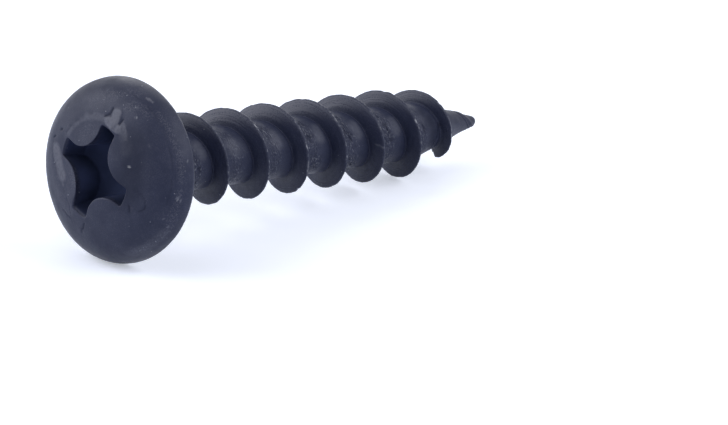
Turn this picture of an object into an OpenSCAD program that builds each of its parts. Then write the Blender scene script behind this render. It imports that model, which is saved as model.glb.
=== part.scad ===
// Cabinet screw with a pan head, a cross recess, a deep coarse thread and a sharp point.
// It lies as it comes to rest, on the edge of its head and on a crest near its point.
// +X runs along it towards the point, +Z is up, and the floor is at zero.
// The screw is built upright on its own axis, with its bearing face at zero and its
// point upwards, and is then laid down. All sizes are in millimetres.

/* [Head] */
// Diameter of the head at its rim
head_d = 9.5; // [8.5:0.1:11]
// Height of the head, from its bearing face to the top of its crown
head_h = 2.6; // [2.3:0.1:3.4]
// Radius of the shallow crown
crown_r = 12; // [9:0.5:16]
// Height at which the rim starts to curve over into the shoulder
rim_h = 0.4; // [0.35:0.05:0.7]
// Radius of the edge between the rim and the bearing face
edge_r = 0.35; // [0.15:0.05:0.35]

/* [Recess] */
// Width of the cross across two opposite wings, at the crown
recess_span = 4.8; // [4:0.1:5.6]
// Width of one wing
wing_w = 1; // [0.8:0.05:1.4]
// Radius of the round metal lobes between the wings
lobe_r = 1.45; // [0.3:0.05:1.6]
// Lean of the end of each wing, in degrees from the screw's axis
wing_lean = 13.25; // [5:0.25:20]
// Depth of the wings' ends below the crown
wing_depth = 1.3; // [0.8:0.1:1.5]
// Depth of the middle of the cross below the top of the crown
recess_depth = 2.2; // [1.8:0.1:2.3]
// Diameter of the blunt middle of the cross's floor
recess_tip_d = 1; // [0.4:0.1:2]
// Turn of the cross past the start of the thread, in degrees
recess_turn = 25; // [0:1:89]

/* [Neck] */
// Diameter of the plain neck below the head
neck_d = 3.5; // [3.2:0.05:4.2]
// Length of the neck, before it narrows to the core of the thread
neck_l = 1.2; // [0.8:0.1:2.5]
// Length over which the neck narrows
neck_run = 0.9; // [0.5:0.1:2]
// Radius of the fillet between the neck and the head
neck_fillet_r = 0.45; // [0.2:0.05:0.8]

/* [Thread] */
// Length of the screw below the head
shank_l = 25.4; // [18:0.1:40]
// Diameter over the crests of the thread
thread_d = 4.78; // [4.2:0.02:5.6]
// Diameter of the core between the turns
core_d = 2.86; // [2.5:0.02:3.2]
// Distance from one turn to the next
pitch = 2.82; // [2:0.02:3.2]
// Width of the flat crest
crest_w = 0.12; // [0.06:0.02:0.4]
// Width of the flank that faces the point, at the core
fore_flank_w = 0.42; // [0.2:0.02:0.8]
// Width of the flank that faces the head, at the core
aft_flank_w = 0.38; // [0.2:0.02:0.8]
// Distance from the bearing face to the start of the thread
thread_start = 1; // [0.6:0.05:2]
// Length over which the thread rises out of the neck
run_in_l = 2.6; // [1:0.1:4]
// Length over which the thread falls away by the point
run_out_l = 4.4; // [2:0.1:6]
// Plain length of the point beyond the thread
bare_point_l = 1.25; // [1:0.05:2.5]

/* [Point] */
// Length of the tapered point
point_l = 4.15; // [3:0.05:6]
// Radius of the blunt end of the point
point_end_r = 0.25; // [0.1:0.01:0.4]
// Hollowness of the taper: 1 is a straight cone, and more is hollow
point_hollow = 1.16; // [1:0.02:1.5]

/* [Rest] */
// Roll of the screw as it lies: the turn from the start of the thread to the floor, in degrees
rest_roll = 185; // [0:1:359]

/* [Hidden] */

// Segments in one turn of the thread
turn_steps = 48;
// Segments of the round parts
round_fn = 96;
// Extra reach of a cut past the face that it opens, and of a piece into what it joins
reach = 0.2;

// Head: the shoulder's arc meets both the rim and the crown without a corner
head_r = head_d / 2;
crown_rise = crown_r - head_h + rim_h;
shoulder_r = (crown_r ^ 2 - head_r ^ 2 - crown_rise ^ 2) / (2 * (crown_r - head_r));
shoulder_x = head_r - shoulder_r;
// The two arcs meet on the line through their centres
join_scale = crown_r / (crown_r - shoulder_r);
join_x = shoulder_x * join_scale;
join_y = head_h - crown_r + crown_rise * join_scale;

// Recess: its mouth is where the wings' ends come out of the crown
mouth_y = head_h - crown_r + sqrt(crown_r ^ 2 - recess_span ^ 2 / 4);
recess_floor_y = mouth_y - wing_depth;
recess_floor_r = recess_span / 2 - wing_depth * tan(wing_lean);
recess_end_y = head_h - recess_depth;
recess_top_y = head_h + reach;
recess_top_r = recess_span / 2 + (recess_top_y - mouth_y) * tan(wing_lean);
// Centre to centre, the lobes' arcs leave a wing between them
lobe_offset = wing_w / 2 + lobe_r;

// Thread: its height over the core, its end, and its stations, a fraction of a turn apart
thread_h = (thread_d - core_d) / 2;
stations = floor((shank_l - bare_point_l - thread_start) / pitch * turn_steps);
thread_end = thread_start + pitch * stations / turn_steps;

// Radius of the plain core and point, at a distance z from the bearing face
function root_r(z) = z < shank_l - point_l ? core_d / 2
  : point_end_r + (core_d / 2 - point_end_r) * (max(0, shank_l - z) / point_l) ^ point_hollow;

// Height of the thread over the core: it rises out of the neck and falls away by the point
function ridge_h(z) = thread_h * max(0, min(1, (z - thread_start) / run_in_l, (thread_end - z) / run_out_l));

// Rest: tilt of the axis when the head's edge and a crest at z both touch the floor
function tilt(z) = let (drop = head_r - edge_r - root_r(z) - ridge_h(z), run = z + crest_w / 2 + edge_r)
  atan2(drop, run) + asin(edge_r / norm([drop, run]));

// The crests that face the floor lie a pitch apart, and the one that leaves the least tilt touches it
first_floor_z = thread_start + pitch * rest_roll / 360;
rest_tilt = min([for (z = [first_floor_z:pitch:thread_end]) tilt(z)]);
// Height of the centre of the bearing face over the floor
bearing_h = edge_r + (head_r - edge_r) * cos(rest_tilt) - edge_r * sin(rest_tilt);
// Middle of the screw's reach along X, measured from the centre of the bearing face
crown_reach = (crown_r - head_h) * cos(rest_tilt) - crown_r;
point_reach = (shank_l - point_end_r) * cos(rest_tilt) + point_end_r;
middle_x = (crown_reach + point_reach) / 2;

// Turn of the thread at a distance z from the bearing face: at no turn it faces the floor
function thread_turn(z) = 360 * (z - first_floor_z) / pitch;

// A point at radius r, turned by a, at a distance z from the bearing face
function polar(r, a, z) = [r * cos(a), r * sin(a), z];

// The four corners of the thread's section at one station, from the head's side to the point's
function section(i) =
  let (
    z = thread_start + pitch * i / turn_steps,
    a = thread_turn(z),
    h = ridge_h(z),
    aft_z = z - crest_w / 2 - aft_flank_w * h / thread_h,
    fore_z = z + crest_w / 2 + fore_flank_w * h / thread_h
  )
  [
    polar(root_r(aft_z), a, aft_z),
    polar(root_r(z) + h, a, z - crest_w / 2),
    polar(root_r(z) + h, a, z + crest_w / 2),
    polar(root_r(fore_z), a, fore_z)
  ];

// A patch of two triangles, of which one that has shrunk to a line is left out
function patch(a, b, c, d) =
  [for (f = [[a, b, c], [a, c, d]]) if (f[0] != f[1] && f[1] != f[2] && f[0] != f[2]) f];

// Half of the head's section, with the bearing face at zero and the crown at the top
module head_section() {
  // Under the crown, as far out as the line from its centre to the shoulder's
  intersection() {
    translate([0, head_h - crown_r]) circle(r = crown_r, $fn = round_fn);
    polygon([
      [0, 0],
      [shoulder_x, 0],
      [shoulder_x, rim_h],
      [join_x, join_y],
      [join_x, head_h],
      [0, head_h]
    ]);
  }
  // The shoulder
  intersection() {
    translate([shoulder_x, rim_h]) circle(r = shoulder_r, $fn = round_fn);
    translate([shoulder_x, rim_h]) square(shoulder_r);
  }
  // The rim and its edge
  translate([0, edge_r]) square([head_r, rim_h - edge_r]);
  square([head_r - edge_r, rim_h]);
  intersection() {
    translate([head_r - edge_r, edge_r]) circle(r = edge_r, $fn = round_fn);
    translate([head_r - edge_r, 0]) square(edge_r);
  }
}

// Outline of the cross, between the round lobes of metal that reach in to it
module cross_outline() {
  wing_reach = recess_top_r + reach;
  square([2 * wing_reach, wing_w], center = true);
  square([wing_w, 2 * wing_reach], center = true);
  difference() {
    square(2 * lobe_offset, center = true);
    for (side_x = [-1, 1], side_y = [-1, 1])
      translate([side_x * lobe_offset, side_y * lobe_offset]) circle(r = lobe_r, $fn = round_fn);
  }
}

// The cross recess, its wings' ends leaning inwards down to a cone with a blunt middle
module cross_recess() {
  intersection() {
    translate([0, 0, recess_end_y]) linear_extrude(recess_top_y - recess_end_y) cross_outline();
    rotate_extrude($fn = round_fn) polygon([
      [0, recess_end_y],
      [recess_tip_d / 2, recess_end_y],
      [recess_floor_r, recess_floor_y],
      [recess_top_r, recess_top_y],
      [0, recess_top_y]
    ]);
  }
}

// The head, with its crown away from the point
module head() {
  mirror([0, 0, 1]) difference() {
    rotate_extrude($fn = round_fn) head_section();
    rotate([0, 0, recess_turn - rest_roll]) cross_recess();
  }
}

// The neck with its fillet, narrowing into the core of the thread
module neck() {
  rotate_extrude($fn = round_fn) {
    difference() {
      square([neck_d / 2 + neck_fillet_r, neck_l]);
      translate([neck_d / 2, neck_fillet_r]) square([2 * neck_fillet_r, neck_l]);
      translate([neck_d / 2 + neck_fillet_r, neck_fillet_r]) circle(r = neck_fillet_r, $fn = round_fn);
    }
    polygon([
      [0, neck_l / 2],
      [neck_d / 2, neck_l],
      [core_d / 2 - reach, neck_l + neck_run],
      [0, neck_l + neck_run]
    ]);
  }
}

// The threaded core and the point, as one closed surface of bands that follow the thread.
// The first and the last station are single corners, where the ridge starts and ends.
module threaded_shank() {
  start_z = neck_fillet_r;
  last = stations;
  // Plain rings of the point beyond the thread: along the taper, then round its blunt end
  taper_rings = [for (k = [1:3]) let (z = thread_end + (shank_l - 2 * point_end_r - thread_end) * k / 3) [root_r(z), z]];
  round_rings = [for (a = [0, 30, 60]) [point_end_r * cos(a), shank_l - point_end_r + point_end_r * sin(a)]];
  rings = concat(taper_rings, round_rings);
  start_a = thread_turn(thread_start);

  // Corners, in the order: start face, start ring, ridge, point rings, tip
  points = concat(
    [[0, 0, start_z]],
    [for (i = [0:turn_steps - 1]) polar(core_d / 2, start_a + 360 * i / turn_steps, start_z)],
    [polar(root_r(thread_start), start_a, thread_start)],
    [for (i = [1:last - 1]) each section(i)],
    [polar(root_r(thread_end), thread_turn(thread_end), thread_end)],
    [for (ring = rings, i = [0:turn_steps - 1]) polar(ring[0], start_a + 360 * i / turn_steps, ring[1])],
    [[0, 0, shank_l]]
  );

  // Numbers of the corners in that order
  ridge_first = 1 + turn_steps;
  ridge_last = ridge_first + 1 + 4 * (last - 1);
  tip = len(points) - 1;
  function start(i) = 1 + i % turn_steps;
  function ridge(i, j) = i == 0 ? ridge_first : i == last ? ridge_last : ridge_first + 1 + 4 * (i - 1) + j;
  function ring(k, i) = ridge_last + 1 + k * turn_steps + i % turn_steps;

  faces = concat(
    // The start face, and the core up to the first turn
    [for (i = [0:turn_steps - 1]) [0, start(i), start(i + 1)]],
    [for (i = [0:turn_steps - 2]) each patch(start(i), ridge(i, 0), ridge(i + 1, 0), start(i + 1))],
    [[start(turn_steps - 1), ridge(turn_steps - 1, 0), ridge(turn_steps, 0)]],
    [[start(turn_steps - 1), ridge(turn_steps, 0), ridge_first]],
    [[start(turn_steps - 1), ridge_first, start(0)]],
    // The two flanks and the crest
    [for (i = [0:last - 1], j = [0:2]) each patch(ridge(i, j), ridge(i, j + 1), ridge(i + 1, j + 1), ridge(i + 1, j))],
    // The core between one turn and the next
    [for (i = [0:last - turn_steps - 1])
      each patch(ridge(i, 3), ridge(i + turn_steps, 0), ridge(i + turn_steps + 1, 0), ridge(i + 1, 3))],
    // From the last turn to the first ring of the point
    [[ridge_last, ring(0, last), ring(0, last + 1)]],
    [[ridge_last, ring(0, last + 1), ridge(last - turn_steps + 1, 3)]],
    [[ridge_last, ridge(last - turn_steps + 1, 3), ridge(last - turn_steps, 3)]],
    [for (i = [last - turn_steps + 1:last - 1]) each patch(ridge(i, 3), ring(0, i), ring(0, i + 1), ridge(i + 1, 3))],
    // The rings of the point and its tip
    [for (k = [0:len(rings) - 2], i = [0:turn_steps - 1])
      each patch(ring(k, i), ring(k + 1, i), ring(k + 1, i + 1), ring(k, i + 1))],
    [for (i = [0:turn_steps - 1]) [ring(len(rings) - 1, i), tip, ring(len(rings) - 1, i + 1)]]
  );
  polyhedron(points, faces);
}

// Lays the screw down at rest, on the edge of its head and the crest that touches the floor
module at_rest() {
  translate([-middle_x, 0, bearing_h]) rotate([0, 90 + rest_tilt, 0]) children();
}

module cabinet_screw() {
  color("#383a4a") at_rest() {
    head();
    neck();
    threaded_shank();
  }
}

cabinet_screw();
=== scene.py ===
"""Looks of the cabinet screw: one piece of formed steel under a blue-black coat, worn along its thread.

The classes hold their sizes in millimetres on the screw's own axis. Zero is the bearing face, +Z runs towards
the point, a height is measured from the bearing face to the crown, and angle zero faces the floor. Rest lays
the finished shape down where the frame has it, in metres.
"""

import logging
import math
from collections.abc import Callable
from dataclasses import dataclass, field
from enum import Enum

import bmesh
import bpy
from mathutils import Matrix, Vector, kdtree, noise


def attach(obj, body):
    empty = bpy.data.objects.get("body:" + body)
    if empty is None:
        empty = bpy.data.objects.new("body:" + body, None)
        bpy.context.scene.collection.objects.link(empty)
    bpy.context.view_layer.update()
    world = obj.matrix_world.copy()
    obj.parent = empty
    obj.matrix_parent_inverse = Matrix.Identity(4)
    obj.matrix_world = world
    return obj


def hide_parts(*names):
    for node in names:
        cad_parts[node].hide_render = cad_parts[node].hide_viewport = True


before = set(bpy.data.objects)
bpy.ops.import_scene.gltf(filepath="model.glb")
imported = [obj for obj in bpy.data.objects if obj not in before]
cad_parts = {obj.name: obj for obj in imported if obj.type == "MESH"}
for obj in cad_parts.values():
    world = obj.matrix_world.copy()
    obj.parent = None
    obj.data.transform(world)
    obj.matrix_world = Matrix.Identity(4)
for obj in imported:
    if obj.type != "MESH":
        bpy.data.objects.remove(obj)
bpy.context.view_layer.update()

LOG = logging.getLogger("cabinet_screw")
MM = 0.001
SEEN_RAYS = ("Is Camera Ray", "Is Glossy Ray", "Is Transmission Ray")

Point2 = tuple[float, float]
Point3 = tuple[float, float, float]
Colour = Point3
Mesh = bmesh.types.BMesh
Vert = bmesh.types.BMVert
Ring = list[bmesh.types.BMEdge]
Socket = bpy.types.NodeSocket
Value = Socket | float | tuple[float, ...]


def smooth_max(a: float, b: float, blend: float) -> float:
    """Returns the larger of two values, rounded over where they lie within blend of each other."""
    near = max(blend - abs(a - b), 0.0) / blend
    return max(a, b) + near * near * blend / 4


def smooth_min(a: float, b: float, blend: float) -> float:
    """Returns the smaller of two values, rounded over where they lie within blend of each other."""
    return -smooth_max(-a, -b, blend)


def ease(start: float, end: float, value: float) -> float:
    """Returns 0 at start and 1 at end, with an even swing in between."""
    t = min(1.0, max(0.0, (value - start) / (end - start)))
    return t * t * (3 - 2 * t)


def hump(value: float, height: float, place: float, width: float) -> float:
    """Returns a soft hump of a height about a place."""
    return height * math.exp(-(((value - place) / width) ** 2))


def ripple(x: float, y: float, z: float) -> float:
    """Returns soft noise at a place, from -1 to 1."""
    return noise.noise(Vector((x, y, z)))


def arc(centre: Point2, radius: float, start: float, end: float, count: int) -> list[Point2]:
    """Lists the points of an arc.

    Args:
        centre: Centre of the arc.
        radius: Radius of the arc.
        start: Angle of the first point, in degrees.
        end: Angle of the last point, in degrees.
        count: Steps from the first point to the last.

    Returns:
        The points, with both ends.
    """
    angles = [math.radians(start + (end - start) * k / count) for k in range(count + 1)]
    return [(centre[0] + radius * math.cos(a), centre[1] + radius * math.sin(a)) for a in angles]


def polar(radius: float, degrees: float, z: float) -> Vector:
    """Returns the point at a radius and an angle in degrees."""
    a = math.radians(degrees)
    return Vector((radius * math.cos(a), radius * math.sin(a), z))


def distance_to_path(point: Vector, path: list[Vector]) -> float:
    """Returns how far a point lies from a line through several points.

    Args:
        point: The point.
        path: The points that the line runs through.

    Returns:
        The distance.
    """
    best = (point - path[0]).length
    for a, b in zip(path, path[1:]):
        span = b - a
        t = min(1.0, max(0.0, (point - a).dot(span) / span.length_squared))
        best = min(best, (point - a - t * span).length)
    return best


def radius_of(v: Vert) -> float:
    """Returns how far a vertex lies from the axis."""
    return math.hypot(v.co.x, v.co.y)


def widen(v: Vert, share: float) -> None:
    """Moves a vertex out to a share of its radius, or in."""
    v.co.x *= share
    v.co.y *= share


@dataclass(frozen=True)
class Rest:
    """How the screw lies: on the edge of its head and a crest near its point."""

    tilt_deg: float = 6.8113
    bearing_height: float = 4.6774
    middle_x: float = 11.2781

    def matrix(self) -> Matrix:
        """Lays the screw down.

        Returns:
            The move from the screw's own axis, in millimetres, to the frame, in metres.
        """
        turn = Matrix.Rotation(math.radians(90 + self.tilt_deg), 4, "Y")
        place = Matrix.Translation((-self.middle_x, 0, self.bearing_height))
        return Matrix.Scale(MM, 4) @ place @ turn


class Trait(Enum):
    """What the surface shows at a vertex, for the coat's shader: a share, or a place along and across the thread."""

    BARE = "bare"
    PALE = "pale"
    # Dust, and painted fill light on the recess's shaded walls
    DUST_AND_FILL_LIGHT = "dust"
    DARK = "dark"
    # How far into the recess: the share of painted fill light there
    RECESS_FILL = "deep"
    CREST = "crest"
    FLANK = "flank"
    # Painted highlight on the flanks that look up
    TOP_HIGHLIGHT = "settled"
    SEAM = "seam"
    ALONG = "along"
    ACROSS = "across"


Layers = dict[Trait, bmesh.types.BMLayerItem]


def add_trait(v: Vert, layer: bmesh.types.BMLayerItem, share: float) -> None:
    """Raises a trait of a vertex to a share, where it is lower."""
    v[layer] = max(v[layer], share)


class MarkKind(Enum):
    """What a mark does to the metal and its coat: its height, the trait that it adds, and its soft share."""

    CREASE = (-0.035, Trait.DARK, 0.65)
    CHIP = (-0.010, Trait.BARE, 0.5)
    SPOT = (0.004, Trait.PALE, 0.6)
    # Real dust on the crown, and painted fill light on the recess's walls that face away from the lamps
    DUST_AND_FILL = (0.0, Trait.DUST_AND_FILL_LIGHT, 0.9)
    # A darker patch; on the head's middle right it is painted shade
    DARK_PATCH = (0.0, Trait.DARK, 0.9)
    FOLD = (-0.045, Trait.DARK, 0.8)
    LIP = (0.035, Trait.PALE, 0.3)


@dataclass(frozen=True)
class Mark:
    """A mark on the surface, along a path of (radius, angle, z) points."""

    kind: MarkKind
    path: tuple[Point3, ...]
    width: float
    strength: float = 1.0

    def press(self, verts: list[Vert], places: kdtree.KDTree, layers: Layers) -> None:
        """Presses the mark into the vertices near its path, or raises them, and adds its trait.

        Args:
            verts: The vertices that the mark may touch.
            places: Where those vertices lie, by their number in the list.
            layers: The mesh's layer for each trait.
        """
        path = [polar(r, a, z) for r, a, z in self.path]
        lift, trait, soft = self.kind.value
        reach = self.width + max((b - path[0]).length for b in path)
        for _, index, _ in places.find_range(path[0], reach):
            v = verts[index]
            share = self.strength * (1 - ease(self.width * (1 - soft), self.width, distance_to_path(v.co, path)))
            if share > 0:
                v.co += v.normal * lift * share
                add_trait(v, layers[trait], share)


def press_marks(marks: tuple[Mark, ...], verts: list[Vert], layers: Layers) -> None:
    """Presses each mark in turn into the vertices.

    Args:
        marks: The marks, in order.
        verts: The vertices that they may touch.
        layers: The mesh's layer for each trait.
    """
    places = kdtree.KDTree(len(verts))
    for index, v in enumerate(verts):
        places.insert(v.co, index)
    places.balance()
    for mark in marks:
        mark.press(verts, places, layers)


def lay_marks(*rows: tuple) -> tuple[Mark, ...]:
    """Turns rows into marks.

    Args:
        rows: The kind, width and strength of each mark, then the points of its path as (radius, angle, z). A point
            without z lies on the head's top.

    Returns:
        The marks, in the order of the rows.
    """
    return tuple(
        Mark(kind, tuple((r, a, *(z or (-dome_height(r),))) for r, a, *z in path), width, strength)
        for kind, width, strength, *path in rows
    )


def dome_height(radius: float) -> float:
    """Follows the head's top out to its rim.

    Args:
        radius: Distance from the axis.

    Returns:
        The top's height there.
    """
    crown = Head.height - Head.crown_radius + math.sqrt(Head.crown_radius**2 - radius**2)
    if radius <= Head.crown_reach:
        return crown
    rise = Head.crown_radius - Head.height + Head.rim_height
    bend = (Head.crown_radius**2 - Head.radius**2 - rise**2) / (2 * (Head.crown_radius - Head.radius))
    return Head.rim_height + math.sqrt(max(0.0, bend**2 - (radius - Head.radius + bend) ** 2))


@dataclass(frozen=True)
class Facet:
    """A round flat that the punch pressed into the crown."""

    radius: float
    angle: float
    depth: float


@dataclass
class Head:
    """The pan head, with its cross recess and the marks on its crown.

    The steps of its section count the fillet, the underside, the edge, the shoulder and the crown.
    """

    radius: float = 4.75
    height: float = 2.55
    crown_radius: float = 11.6
    crown_reach: float = 3.5
    rim_height: float = 0.32
    edge_radius: float = 0.3
    neck_radius: float = 1.75
    fillet_radius: float = 0.45
    fillet_length: float = 0.78
    neck_rings: Point2 = (0.65, 0.53)
    section_steps: tuple[int, ...] = (8, 14, 6, 28, 9)
    spokes: int = 288
    ring_radius: float = 2.95
    recess_span: float = 4.8
    wing_width: float = 1.0
    lobe_radius: float = 1.45
    wing_lean: float = 13.25
    wing_depth: float = 1.3
    recess_depth: float = 2.2
    tip_radius: float = 0.5
    wall_blend: float = 0.12
    corner_blend: float = 0.1
    recess_angle: float = 20.0
    mouth_round: float = 0.1
    mouth_steps: int = 600
    draw_steps: int = 18
    edge_steps: int = 5
    floor_dish: float = 0.03
    recess_heights: tuple[float, ...] = (
        2.2, 2.0, 1.8, 1.6, 1.4, 1.24, 1.14, 1.08, 1.02, 0.94, 0.84, 0.74, 0.64, 0.54, 0.46, 0.4
    )
    recess_shade: Point2 = (0.12, 0.4)
    facets: tuple[Facet, ...] = (Facet(1.57, 162.0, 0.085), Facet(1.45, 90.0, 0.125))
    facet_reach: float = 1.9
    facet_blend: float = 0.03
    # Painted highlight on the pressed flats
    facet_highlight: float = 0.02
    facet_fade: float = 0.02
    out_of_round: tuple[Point2, ...] = ((0.0184, -0.0005), (-0.0201, 0.0169), (0.0076, 0.0060), (0.0023, 0.0013))
    settled_from: float = 2.5
    settled_run: float = 2.0
    rim_slack: float = 0.02
    marks: tuple[Mark, ...] = field(default_factory=lambda: HEAD_MARKS)

    def crown_height(self, radius: float) -> float:
        """Returns the height of the plain crown at a radius."""
        return self.height - self.crown_radius + math.sqrt(self.crown_radius**2 - radius**2)

    def profile(self) -> list[Point2]:
        """Lists the points of the head's section.

        Returns:
            The (radius, z) points, from the neck round to the crown's ring.
        """
        rise = self.crown_radius - self.height + self.rim_height
        shoulder = (self.crown_radius**2 - self.radius**2 - rise**2) / (2 * (self.crown_radius - self.radius))
        shoulder_x = self.radius - shoulder
        join = math.degrees(math.atan2(rise, shoulder_x))
        fillet_out = self.neck_radius + self.fillet_radius
        flat_out = self.radius - self.edge_radius
        fillet, underside, edge, bend, crown = self.section_steps
        points = [(self.neck_radius, z) for z in (self.fillet_length, *self.neck_rings)]
        points += arc((fillet_out, self.fillet_radius), self.fillet_radius, 180, 270, fillet)
        points += [(fillet_out + (flat_out - fillet_out) * k / underside, 0.0) for k in range(1, underside)]
        points += arc((flat_out, -self.edge_radius), self.edge_radius, 90, 0, edge)
        points += arc((shoulder_x, -self.rim_height), shoulder, 0, -join, bend)
        start = shoulder_x + shoulder * math.cos(math.radians(join))
        radii = [start + (self.ring_radius - start) * k / crown for k in range(1, crown + 1)]
        return points + [(r, -self.crown_height(r)) for r in radii]

    def mouth(self) -> list[Vector]:
        """Lists the points of the recess's outline.

        Returns:
            The points, evenly spaced, from the middle of one wing's end.
        """
        half, offset = self.wing_width / 2, self.wing_width / 2 + self.lobe_radius
        quadrant = []
        for k in range(self.mouth_steps):
            a = math.pi / 2 * k / self.mouth_steps
            c, s = math.cos(a), math.sin(a)
            reach = self.recess_span / 2
            side = half / max(min(c, s), 1e-6)
            if side * max(c, s) >= offset:
                reach = min(reach, side)
            along = offset * (c + s)
            inside = along**2 - 2 * offset**2 + self.lobe_radius**2
            if inside > 0:
                t = along - math.sqrt(inside)
                if t * c <= offset and t * s <= offset:
                    reach = min(reach, t)
            quadrant.append((reach * c, reach * s))
        quarters = ((1, 0), (0, 1), (-1, 0), (0, -1))
        outline = [(x * c - y * s, x * s + y * c) for c, s in quarters for x, y in quadrant]
        lengths = [0.0]
        for (x0, y0), (x1, y1) in zip(outline, outline[1:] + outline[:1]):
            lengths.append(lengths[-1] + math.hypot(x1 - x0, y1 - y0))
        even, at = [], 0
        for k in range(self.spokes):
            want = lengths[-1] * k / self.spokes
            while lengths[at + 1] < want:
                at += 1
            even.append(Vector(outline[at % len(outline)]))
        for _ in range(3):
            even = [(even[k - 1] + 2 * even[k] + even[(k + 1) % self.spokes]) / 4 for k in range(self.spokes)]
        return even

    def clamp_radius(self, height: float) -> float:
        """Finds how far from the axis the recess reaches.

        Args:
            height: Height over the bearing face.

        Returns:
            The largest radius of the recess there.
        """
        mouth_height = self.crown_height(self.recess_span / 2)
        floor = mouth_height - self.wing_depth
        lean = math.tan(math.radians(self.wing_lean))
        wall = self.recess_span / 2 - (mouth_height - height) * lean
        floor_radius = self.recess_span / 2 - self.wing_depth * lean
        end = self.height - self.recess_depth
        cone = self.tip_radius + (floor_radius - self.tip_radius) * (height - end) / (floor - end)
        return max(self.tip_radius, smooth_min(wall, cone, self.wall_blend))

    def build(self, mesh: Mesh) -> Ring:
        """Makes the head by turning its section, then draws its crown in to the recess and down to its floor.

        Args:
            mesh: The mesh that the head is added to.

        Returns:
            The open ring of edges at the neck.
        """
        spoke = mesh.verts.layers.int["spoke"]
        section = [mesh.verts.new((r, 0, z)) for r, z in self.profile()]
        line = [mesh.edges.new(pair) for pair in zip(section, section[1:])]
        full_turn = {"angle": math.tau, "steps": self.spokes, "use_merge": True}
        bmesh.ops.spin(mesh, geom=section + line, cent=(0, 0, 0), axis=(0, 0, 1), **full_turn)
        open_edges = [e for e in mesh.edges if e.is_boundary]
        crown = [e for e in open_edges if e.verts[0].co.z < 0]
        neck = [e for e in open_edges if abs(e.verts[0].co.z - self.fillet_length) < 1e-3]
        turn = math.radians(self.recess_angle)
        for v in {v for e in crown for v in e.verts}:
            a = (math.atan2(v.co.y, v.co.x) - turn) % math.tau
            v[spoke] = round(a / math.tau * self.spokes) % self.spokes
        self.cut_recess(mesh, crown)
        return neck

    def cut_recess(self, mesh: Mesh, crown: Ring) -> None:
        """Draws the crown in to the recess's mouth, over its rounded edge, and down its walls to its floor.

        Args:
            mesh: The screw's mesh.
            crown: The open ring of edges at the crown.
        """
        spoke = mesh.verts.layers.int["spoke"]
        mouth = self.mouth()
        count = self.spokes
        turn = Matrix.Rotation(math.radians(self.recess_angle), 3, "Z")
        outward = []
        for k in range(count):
            run = mouth[(k + 1) % count] - mouth[k - 1]
            outward.append(Vector((run.y, -run.x)).normalized())

        def stand(flat: Vector, drop: float = 0.0) -> Vector:
            """Stands a flat point on the crown, or below it."""
            return turn @ Vector((flat.x, flat.y, -(self.crown_height(flat.length) - drop)))

        def draw_in(share: float) -> Callable[[int], Vector]:
            """Places a ring between the turned crown and the rounded edge.

            Args:
                share: How far the ring lies on its way to the edge.

            Returns:
                What gives each point its place, by its number.
            """

            def place(k: int) -> Vector:
                """Places one point of the ring."""
                a = math.tau * k / count
                start = self.ring_radius * Vector((math.cos(a), math.sin(a)))
                return stand(start.lerp(mouth[k] + outward[k] * self.mouth_round, share))

            return place

        def round_over(degrees: float) -> Callable[[int], Vector]:
            """Places a ring on the rounded edge.

            Args:
                degrees: How far round the edge the ring lies.

            Returns:
                What gives each point its place, by its number.
            """
            a = math.radians(degrees)
            out, drop = self.mouth_round * (1 - math.sin(a)), self.mouth_round * (1 - math.cos(a))
            return lambda k: stand(mouth[k] + outward[k] * out, drop)

        def go_down(height: float) -> Callable[[int], Vector]:
            """Places a ring on the walls or the floor.

            Args:
                height: Height over the bearing face.

            Returns:
                What gives each point its place, by its number.
            """
            reach = self.clamp_radius(height)

            def place(k: int) -> Vector:
                """Places one point of the ring."""
                flat = mouth[k] * (smooth_min(mouth[k].length, reach, self.corner_blend) / mouth[k].length)
                return turn @ Vector((flat.x, flat.y, -height))

            return place

        places = [draw_in(math.sin(math.pi / 2 * (k + 1) / self.draw_steps)) for k in range(self.draw_steps)]
        places += [round_over(90 / self.edge_steps * (k + 1)) for k in range(self.edge_steps)]
        places += [go_down(h) for h in self.recess_heights]
        ring = crown
        for place in places:
            ring = extend(mesh, ring, lambda v: place(v[spoke]))
        centre = Vector((0, 0, -self.recess_heights[-1] + self.floor_dish))
        ring = extend(mesh, ring, lambda v: v.co.lerp(centre, 0.5))
        close(mesh, ring, centre)

    def mark(self, mesh: Mesh) -> None:
        """Presses the facets into the crown with a faint painted highlight on them, adds the marks and the traits that
        they leave, and sets the share of painted fill light in the recess.

        Args:
            mesh: The screw's mesh.
        """
        layers = trait_layers(mesh)
        top = [v for v in mesh.verts if v.co.z < -self.rim_slack]
        for facet in self.facets:
            middle = polar(facet.radius, facet.angle, -self.crown_height(facet.radius))
            normal = (middle - Vector((0, 0, self.crown_radius - self.height))).normalized()
            for v in top:
                pressed = smooth_max((v.co - middle).dot(normal) + facet.depth, 0.0, self.facet_blend)
                if v.co.z < -self.facet_reach and pressed > 0:
                    v.co -= normal * pressed
                    # A faint painted highlight on the pressed flat
                    add_trait(v, layers[Trait.PALE], self.facet_highlight * ease(0.0, self.facet_fade, pressed))
        mouth = self.crown_height(self.recess_span / 2)
        # Painted fill light in the recess, from just below its mouth down
        for v in top:
            if radius_of(v) < self.recess_span / 2 + self.mouth_round:
                v[layers[Trait.RECESS_FILL]] = ease(*self.recess_shade, mouth + v.co.z)
        press_marks(self.marks, top, layers)

    def settle(self, mesh: Mesh) -> None:
        """Puts the head out of round, as it left the die, and holds its radius where it rests on the floor.

        Args:
            mesh: The screw's mesh.
        """
        held = sum(c for c, _ in self.out_of_round)
        for v in mesh.verts:
            radius = radius_of(v)
            if radius < self.settled_from or v.co.z > self.rim_slack:
                continue
            a = math.atan2(v.co.y, v.co.x)
            grow = sum(c * math.cos(k * a) + d * math.sin(k * a) for k, (c, d) in enumerate(self.out_of_round, 1))
            widen(v, 1 + (grow - held) * min(1.0, (radius - self.settled_from) / self.settled_run))


CREASE, CHIP, SPOT, DUST_AND_FILL, DARK_PATCH, FOLD, LIP = MarkKind

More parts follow.
